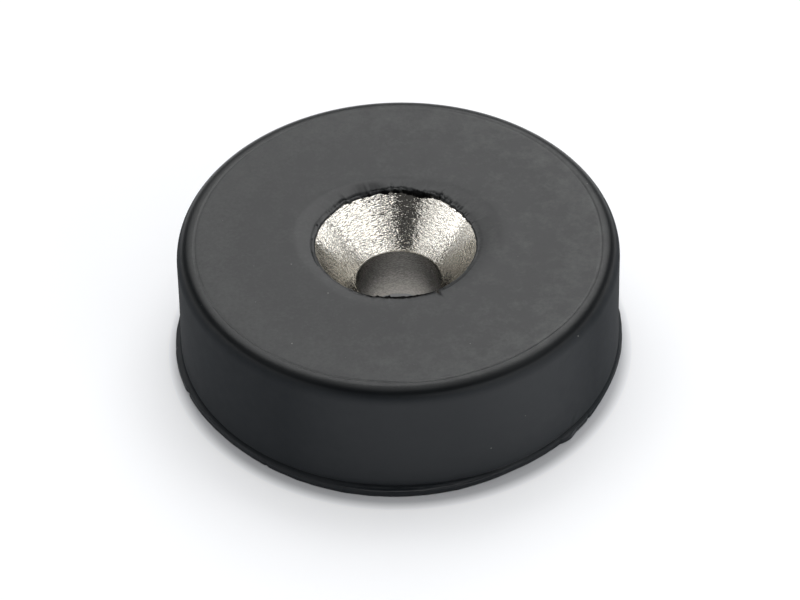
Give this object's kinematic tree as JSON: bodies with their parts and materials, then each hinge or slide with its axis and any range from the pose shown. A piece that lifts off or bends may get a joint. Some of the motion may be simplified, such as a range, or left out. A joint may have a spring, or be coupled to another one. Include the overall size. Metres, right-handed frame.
{
  "type": "rubber-jacketed pot magnet",
  "caption": "Round pot magnet in a moulded rubber jacket, with a plated ring magnet whose countersunk hole takes a screw from the holding face.",
  "frame": {"origin": "middle of the underside, on the screw's axis", "axes": "+Z along the screw's axis, out of the holding face with its countersink; the jacket's flash is widest towards -X"},
  "size_m": [0.0225, 0.0223, 0.0067],
  "materials": {
    "jacket_rubber": "moulded black rubber, satin",
    "pot_steel": "zinc-plated turned steel",
    "magnet_nickel": "nickel plating over a sintered grain",
    "cast_epoxy": "cast black epoxy"
  },
  "bodies": {
    "root": {"rubber_jacket": "jacket_rubber", "steel_pot": "pot_steel", "ring_magnet": "magnet_nickel", "epoxy_ring": "cast_epoxy"}
  },
  "joints": []
}
